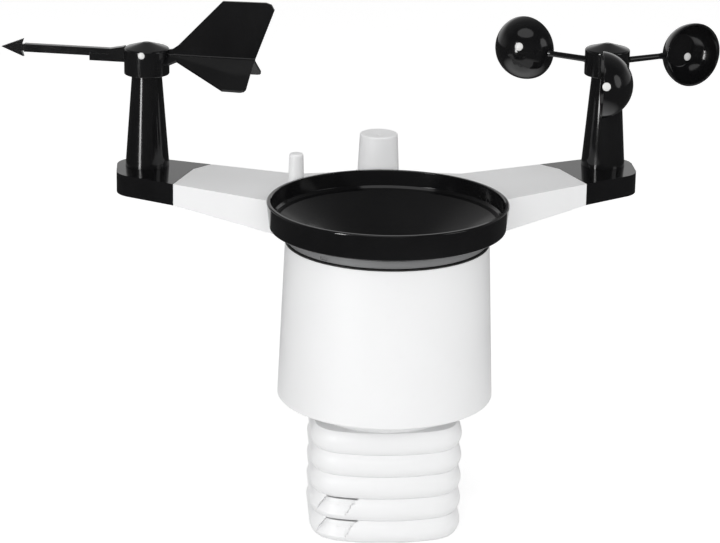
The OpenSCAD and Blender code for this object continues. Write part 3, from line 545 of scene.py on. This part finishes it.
# the vent windows in the two lowest rings
FIRST_VENTED, RINGS = 4, 5
BAFFLE_R, BAFFLE_RUN, BAFFLE_FOOT = 36.2, 3.8, 3.2
CUT_LOW, CUT_BACK_R, CUT_OUT_R = 1.2, 33.0, 43.5
PAD_LOW, PAD_GROW, PAD_PROUD, PAD_WALL, PAD_TOP_R, PAD_BACK_R = 4.2, 1.0, 0.5, 2.1, 36.7, 34.7
WINDOW_DEG, WINDOW_SHIFT, WINDOW_HALF_W, WINDOW_RAKE = -120, -3.3, 8.5, 8.5


def ring_plan():
    """Stations (x, y, outward x, outward y) round the ring."""
    def arc(cx, cy, r, lo, hi, n):
        steps = [lo + (hi - lo) * i / n for i in range(n + 1)]
        return [(cx + r * math.cos(t), cy + r * math.sin(t), math.cos(t), math.sin(t)) for t in steps]
    lean = math.asin(SIDE)
    q = math.pi / 2
    quarter = arc(0, BOW - NOTCH, BOW, -q, lean - q, BOW_STEPS)[:-1]
    quarter += arc(CORNER_X, CORNER_Y, CORNER, lean - q, 0, CORNER_STEPS)
    quarter += [(NOTCH, CORNER_Y * (1 - i / SIDE_STEPS), 1.0, 0.0) for i in range(1, SIDE_STEPS + 1)]
    right = quarter + [(x, -y, nx, -ny) for x, y, nx, ny in quarter[-2::-1]]
    return right + [(-x, -y, -nx, -ny) for x, y, nx, ny in right[1:-1]]


STATIONS = ring_plan()


def sweep_bm(path, place):
    """Carry a closed (r, z) section round the ring plan; r is measured as if the ring were round."""
    bm = bmesh.new()
    loops = [[bm.verts.new(((x + nx * (r - NOTCH)) * MM, (y + ny * (r - NOTCH)) * MM, z * MM)) for r, z in path]
             for x, y, nx, ny in STATIONS]
    for i, a in enumerate(loops):
        b = loops[(i + 1) % len(loops)]
        for k in range(len(path)):
            m = (k + 1) % len(path)
            bm.faces.new((a[k], b[k], b[m], a[m]))
    bmesh.ops.transform(bm, matrix=place, verts=bm.verts[:])
    return bm


def ring_section():
    """The rounded nose from top to foot, the wall inside it and the flange on top."""
    top = math.asin(HALF / NOSE_R)
    section = []
    for i in range(NOSE_STEPS + 1):
        a = top * (1 - 2 * i / NOSE_STEPS)
        fillet = 0.5 if i in (0, NOSE_STEPS) else 0
        section.append((NOSE_X + NOSE_R * math.cos(a), NOSE_R * math.sin(a), fillet))
    section.append((WALL_IN_R, -HALF, 0))
    inner_r = NOSE_R - RING_WALL
    low = -math.acos((WALL_IN_R - NOSE_X) / inner_r)
    high = math.asin((HALF - FLANGE) / inner_r)
    for i in range(INNER_STEPS + 1):
        a = low + (high - low) * i / INNER_STEPS
        section.append((NOSE_X + inner_r * math.cos(a), inner_r * math.sin(a), 0))
    return section + [(CORE_R, HALF - FLANGE, 0.4), (CORE_R, HALF, 0.4)]


def baffle(z):
    """Outer reach of the sloped baffle at a height over the ring's lower edge."""
    top = 2 * HALF - SLOT
    return BAFFLE_R + BAFFLE_RUN * (top - z) / (top - BAFFLE_FOOT)


def window_part(grow, section, spin):
    """A swept section kept inside the raked outline of one vent window, wider by grow."""
    part = cutter(sweep_bm(section, Matrix()))
    w, h = WINDOW_HALF_W + grow, HALF + 1
    outline = [(-w - WINDOW_RAKE, -h), (w - WINDOW_RAKE, -h), (w, h), (-w, h)]
    facing = turn(WINDOW_DEG, "Z") @ at(0, WINDOW_SHIFT) @ turn(90, "Z") @ turn(90, "X")
    carve(part, [cutter(prism_bm(outline, 0, 80, facing))], "INTERSECT", weighted=False)
    part.data.transform(spin)
    return part


def cut_windows(ring, mid):
    """Open the vent windows at the front left and the back right, with the baffles behind them."""
    pad_r = baffle(PAD_LOW)
    pad_low, pad_top = PAD_LOW - HALF, HALF - 1.0
    pad = [(pad_r + PAD_PROUD, pad_low), (PAD_TOP_R, pad_top), (PAD_BACK_R, pad_top),
           (pad_r - PAD_WALL, pad_low)]
    cut = [(baffle(CUT_LOW), CUT_LOW - HALF), (BAFFLE_R, HALF - SLOT), (CUT_BACK_R, HALF - SLOT),
           (CUT_BACK_R, HALF + 1), (CUT_OUT_R, HALF + 1), (CUT_OUT_R, CUT_LOW - HALF)]
    spins = [at(*AX, mid) @ turn(side, "Z") for side in (0, 180)]
    carve(ring, [window_part(PAD_GROW, pad, spin) for spin in spins], "UNION")
    carve(ring, [window_part(0.0, cut, spin) for spin in spins])


for k in range(1, RINGS + 1):
    node = "louvre_%d" % k
    mid = SHIELD_TOP - (k - 0.5) * PITCH
    bm = sweep_bm(filleted(ring_section()), at(*AX, mid))
    ring = bake_modifiers(mesh_object("v_" + node, bm, node, "white_plastic", "station"))
    if k >= FIRST_VENTED:
        cut_windows(ring, mid)

for name in ("shield_foot", "shield_core", "bottom_plate"):
    refined(name, "white_plastic", "station", 0.25, 2)

# ---------------------------------------------------------------- pole socket and antenna
SOCKET_R, SOCKET_STEP, SOCKET_NECK_R = 13.1, 34.6, 11.5
POLE_BORE_R, POLE_STOP = 9.5, 58.0
DOME_FOOT_R, DOME_TOP = 10.4, 76.1
SLEEVE_X, SLEEVE_Y, SLEEVE_R, SLEEVE_TOP_R, SLEEVE_TOP = -46.4, -27.2, 4.4, 3.8, 72.0

# the dome ends in a shallow dimple
lathe("v_pole_socket", [
    (0.0, POLE_STOP, 0), (POLE_BORE_R, POLE_STOP, 0.3), (POLE_BORE_R, 0.0, 0.5), (SOCKET_R, 0.0, 0.6),
    (SOCKET_R, SOCKET_STEP, 0.5), (SOCKET_NECK_R, SOCKET_STEP, 0.2), (SOCKET_NECK_R, ARM_TOP, 0.0),
    (DOME_FOOT_R, DOME_TOP, 1.3), (8.6, DOME_TOP, 0.8), (0.9, 75.35, 0.2), (0.8, 75.6, 0.1), (0.0, 75.65, 0),
], "pole_socket", "white_plastic", "station", 0, 0, n=128, steps=8)
lathe("v_antenna_sleeve", [
    (0, ARM_TOP, 0), (SLEEVE_R, ARM_TOP, 0.0), (SLEEVE_TOP_R, SLEEVE_TOP, 1.3), (0, SLEEVE_TOP, 0),
], "antenna_sleeve", "white_plastic", "station", SLEEVE_X, SLEEVE_Y, n=96, steps=8)

# ---------------------------------------------------------------- arms
refined("arm_frame", "white_plastic", "station", 0.55, 3)
refined("arm_cover", "white_plastic", "station", 0.3, 2)
refined("end_cap_left", "black_plastic", "station", 0.55, 3)
refined("end_cap_right", "black_plastic", "station", 0.55, 3)
refined("saddle_bracket", "white_plastic", "station", 0.5, 3)
refined("battery_door", "white_plastic", "battery_door", 0.4, 3)

# ---------------------------------------------------------------- wind posts
POST_FOOT_R, POST_TOP_R, POST_BORE_R = 12.2, 8.1, 3.4
HOLLOW_FOOT_R, HOLLOW_TOP_R, HOLLOW_TOP = 10.3, 6.9, 86.1
CAP_R, CAP_BORE_R, CAP_DEEP = 12.45, 10.75, 115.4
SHAFT_R, SHAFT_TOP, TIP_R = 1.5, 119.9, 1.6

for side, x in (("vane", -POST_X), ("rotor", POST_X)):
    lathe("v_%s_post" % side, [
        (POST_FOOT_R, ARM_TOP, 0.2), (POST_TOP_R, POST_TOP, 0.5), (POST_BORE_R, POST_TOP, 0.2),
        (POST_BORE_R, HOLLOW_TOP, 0.1), (HOLLOW_TOP_R, HOLLOW_TOP, 0.2), (HOLLOW_FOOT_R, ARM_TOP, 0.1),
    ], side + "_post", "black_plastic", "station", x, POST_Y, n=128)
    lathe("v_%s_cap" % side, [
        (TIP_R, APEX, 1.6), (CAP_R, SHOULDER, 1.2), (CAP_R, CAP_LOW, 0.5), (CAP_BORE_R, CAP_LOW, 0.3),
        (CAP_BORE_R, CAP_DEEP, 0.4), (SHAFT_R, CAP_DEEP, 0.1), (SHAFT_R, SHAFT_TOP, 0.1), (0, SHAFT_TOP, 0),
        (0, APEX, 0),
    ], side + "_cap", "black_plastic", side, x, POST_Y, n=128, steps=8)


# ---------------------------------------------------------------- vane
SCREW_R, SCREW_H, SCREW_DEG, SCREW_DROP, SCREW_SINK = 1.9, 1.0, -103, 1.9, 0.02


def dome_head(r, h, place, bm=None):
    """Low dome standing on z 0: the head of the vane's screw, and the pale dots on the cups that are painted
    highlights.
    """
    arc = [(r * math.sin(a), h * math.cos(a)) for a in (i * math.pi / 20 for i in range(10))]
    return lathe_bm([*arc, (r, 0.0), (0, 0.0)], 48, place, bm)


refined("vane_arrow", "black_plastic", "vane", 0.35, 3)
refined("vane_tail", "black_plastic", "vane", 0.5, 3)
screw_side = at(-POST_X, POST_Y, SHOULDER - SCREW_DROP) @ turn(SCREW_DEG, "Z")
screw_at = screw_side @ at(CAP_R - SCREW_SINK, 0) @ turn(90, "Y")
mesh_object("v_vane_screw", dome_head(SCREW_R, SCREW_H, screw_at), "vane_screw", "pin_pale", "vane")

# ---------------------------------------------------------------- cups
CUP_R, CUP_WALL, REACH, CUP_Y, CUT_Y = 18.1, 1.2, 54.2, -6.8, -5.6
HUB_Z, FIRST_CUP_DEG = 112.5, -90 - 5.2
MOUTH = CUT_Y - CUP_Y
DISC_DEPTH = CUP_R - 3.9
LIP_FILLET = 0.45
BOWL_STEPS, BOWL_IN_STEPS = 24, 20
ROOT, TIP = 12.49, REACH - CUP_R + 0.6
# size of the pale dots on the cups, which are painted highlights
GLINT_R, GLINT_H, GLINT_SINK = 2.3, 0.85, 0.05


def bowl_path():
    """A cup in (r, depth) from its mouth: the outer bowl, the flat disc in its back and the inner bowl."""
    start = math.asin(MOUTH / CUP_R)
    outer = [start + (math.pi / 2 - start) * i / BOWL_STEPS for i in range(BOWL_STEPS)]
    path = [(CUP_R * math.cos(a), CUP_R * math.sin(a), 0) for a in outer]
    path[0] = (*path[0][:2], LIP_FILLET)
    inner_r = CUP_R - CUP_WALL
    disc_r = math.sqrt(inner_r * inner_r - DISC_DEPTH * DISC_DEPTH)
    path += [(0.0, CUP_R, 0), (0.0, DISC_DEPTH, 0), (disc_r - 0.02, DISC_DEPTH, 0)]
    low, high = math.acos(disc_r / inner_r), math.asin(MOUTH / inner_r)
    for i in range(BOWL_IN_STEPS + 1):
        a = low + (high - low) * i / BOWL_IN_STEPS
        path.append((inner_r * math.cos(a), inner_r * math.sin(a), LIP_FILLET if i == BOWL_IN_STEPS else 0))
    return filleted(path)


def on_bowl(around, tilt):
    """Where a pale dot sits on the outside of a cup, from the cup's centre; the dots are painted highlights,
    each set where its cup faces the camera.
    """
    return turn(around, "Z") @ turn(tilt, "Y") @ at(CUP_R - GLINT_SINK, 0) @ turn(90, "Y")


SPOKE = filleted([(0, ROOT, 0), (2.2, ROOT, 0.2), (1.72, ROOT + 2.0, 2.0), (1.6, TIP - 1.4, 2.0),
                  (1.9, TIP, 0.2), (0, TIP, 0)], 5)
IN_DISC = at(5, DISC_DEPTH + 0.02, -4.2) @ turn(90, "X")
cups = bmesh.new()
glint_dots = bmesh.new()
# one pale dot per cup, at a different place on each, where that cup faces the camera: painted highlights
for k, glint_at in enumerate((on_bowl(9, -10.2), IN_DISC, on_bowl(103, -12.5))):
    arm = at(POST_X, POST_Y, HUB_Z) @ turn(FIRST_CUP_DEG + 120 * k, "Z")
    centre = arm @ at(REACH, CUP_Y)
    lathe_bm(bowl_path(), 128, centre @ turn(-90, "X"), cups)
    lathe_bm(SPOKE, 48, arm @ turn(90, "Y"), cups)
    dome_head(GLINT_R, GLINT_H, centre @ glint_at, glint_dots)
bake_modifiers(mesh_object("v_rotor_cups", cups, "rotor_cups", "black_plastic", "rotor"))
mesh_object("v_cup_pins", glint_dots, "cup_pins", "pin_pale", "rotor")

# ---------------------------------------------------------------- inner nodes keep their CAD shape
for name, ob in NODES.items():
    skin = MATS[SLOT_OF[name]]
    for k in range(len(ob.data.materials)):
        ob.data.materials[k] = skin
    if not ob.data.materials:
        ob.data.materials.append(skin)

# ---------------------------------------------------------------- studio
FILL = 0.79
ROOM_DARK = 0.05
ROOM_STOPS = ((0.0, ROOM_DARK), (0.40, ROOM_DARK), (0.70, 0.35), (0.92, 0.85))
CEILING_FROM, CEILING_TO, CEILING_LEVEL = 0.20, 0.45, 0.32
FLOOR_GLOW = 0.45
FLOOR_SIZE, FLOOR_Y, FLOOR_GAP = 6, -0.06, 0.0002
PAPER_NEAR, PAPER_FAR = 0.17, 0.34
LAMP_AIM = Vector((0, -0.04, 0.03))


def floor_material():
    """White glowing paper; mirror rays see it end not far around the object."""
    mat = Mat("studio_floor")
    paper = mat.span(mat.noise(3.0, 4, 0.55), 0.35, 0.65, 0, 1)
    mat.set(Base_Color=mat.blend(paper, (0.80, 0.80, 0.80), (0.79, 0.79, 0.79)), Roughness=0.9)
    plain = mat.bsdf.outputs[0]
    glow = mat.new("ShaderNodeEmission")
    mat.feed(glow.inputs["Color"], (1, 1, 1))
    mat.feed(glow.inputs["Strength"], FLOOR_GLOW)
    dim = mat.new("ShaderNodeBsdfDiffuse")
    mat.feed(dim.inputs["Color"], (0.06, 0.06, 0.06))
    lit = mat.new("ShaderNodeAddShader")
    mat.link(plain, lit.inputs[0])
    mat.link(glow.outputs[0], lit.inputs[1])
    reach = mat.new("ShaderNodeVectorMath", operation="LENGTH")
    mat.link(mat.coord, reach.inputs[0])
    near = mat.span(reach.outputs["Value"], PAPER_NEAR, PAPER_FAR, 1, 0)
    mirrored = mat.mix(near, dim.outputs[0], lit.outputs[0])
    path = mat.new("ShaderNodeLightPath")
    gloss = mat.math("MAXIMUM", path.outputs["Is Glossy Ray"], path.outputs["Is Transmission Ray"])
    unseen = mat.mix(gloss, plain, mirrored)
    mat.link(mat.mix(path.outputs["Is Camera Ray"], unseen, lit.outputs[0]), mat.out.inputs[0])
    return mat.mat


def lay_floor():
    """A wide sheet just under the lowest point of the part."""
    bm = bmesh.new()
    bmesh.ops.create_grid(bm, x_segments=2, y_segments=2, size=FLOOR_SIZE)
    me = bpy.data.meshes.new("floor")
    bm.to_mesh(me)
    bm.free()
    me.materials.append(floor_material())
    floor = bpy.data.objects.new("floor", me)
    floor.location = (0, FLOOR_Y, CAD_BOX[0][2] - FLOOR_GAP)
    bpy.context.collection.objects.link(floor)


def light_room():
    """An even fill, a white view for the camera, and for mirror rays a white set behind a dark studio."""
    world = bpy.data.worlds.new("studio")
    bpy.context.scene.world = world
    world.use_nodes = True
    world.cycles.sampling_method = "NONE"
    sky = Nodes(world.node_tree)
    fill, seen, room = (sky.new("ShaderNodeBackground") for _ in range(3))
    sky.feed(fill.inputs["Strength"], FILL)
    sky.feed(seen.inputs["Strength"], 1.0)
    split = sky.new("ShaderNodeSeparateXYZ")
    sky.link(sky.new("ShaderNodeTexCoord").outputs["Generated"], split.inputs[0])
    ramp = sky.new("ShaderNodeValToRGB")
    ramp.color_ramp.interpolation = "EASE"
    elements = ramp.color_ramp.elements
    ends = (ROOM_STOPS[0], ROOM_STOPS[-1])
    for element, (position, level) in zip(elements, ends):
        element.position = position
        element.color = (level,) * 3 + (1,)
    for position, level in ROOM_STOPS[1:-1]:
        elements.new(position).color = (level,) * 3 + (1,)
    sky.link(sky.span(split.outputs["Y"], -1, 1, 0, 1), ramp.inputs[0])
    sky.link(ramp.outputs[0], room.inputs["Color"])
    ceiling = sky.span(split.outputs["Z"], CEILING_FROM, CEILING_TO, 1.0, CEILING_LEVEL)
    sky.link(ceiling, room.inputs["Strength"])
    path = sky.new("ShaderNodeLightPath")
    gloss = sky.math("MAXIMUM", path.outputs["Is Glossy Ray"], path.outputs["Is Transmission Ray"])
    unseen = sky.mix(gloss, fill.outputs[0], room.outputs[0])
    out = sky.new("ShaderNodeOutputWorld")
    sky.link(sky.mix(path.outputs["Is Camera Ray"], unseen, seen.outputs[0]), out.inputs[0])


def softbox(name, azimuth, elevation, distance, width, height, power, diffuse=True, glossy=True,
            shape="RECTANGLE"):
    """Area lamp aimed at the part; azimuth 0 is the front and grows to the right."""
    data = bpy.data.lights.new(name, "AREA")
    data.shape = shape
    data.size = width
    data.size_y = height
    data.energy = power
    ob = bpy.data.objects.new(name, data)
    bpy.context.collection.objects.link(ob)
    a, e = math.radians(azimuth), math.radians(elevation)
    way = Vector((math.sin(a) * math.cos(e), -math.cos(a) * math.cos(e), math.sin(e)))
    ob.location = LAMP_AIM + way * distance
    ob.rotation_euler = way.to_track_quat("Z", "Y").to_euler()
    ob.visible_diffuse = diffuse
    ob.visible_glossy = glossy


lay_floor()
light_room()
softbox("front_fill", -5, 16, 2.6, 1.5, 1.0, 27, glossy=False)
softbox("left_fill", -72, 22, 2.4, 1.2, 1.2, 7, glossy=False)
softbox("right_fill", 72, 22, 2.4, 1.2, 1.2, 5, glossy=False)
softbox("left_strip", -46, 4, 1.3, 0.20, 1.2, 12, diffuse=False)
softbox("right_box", 62, 18, 2.2, 0.9, 1.4, 4, diffuse=False, shape="ELLIPSE")
softbox("top_box", -20, 68, 2.0, 1.9, 1.3, 6, diffuse=False, shape="ELLIPSE")
bpy.context.scene.view_settings.view_transform = "Standard"
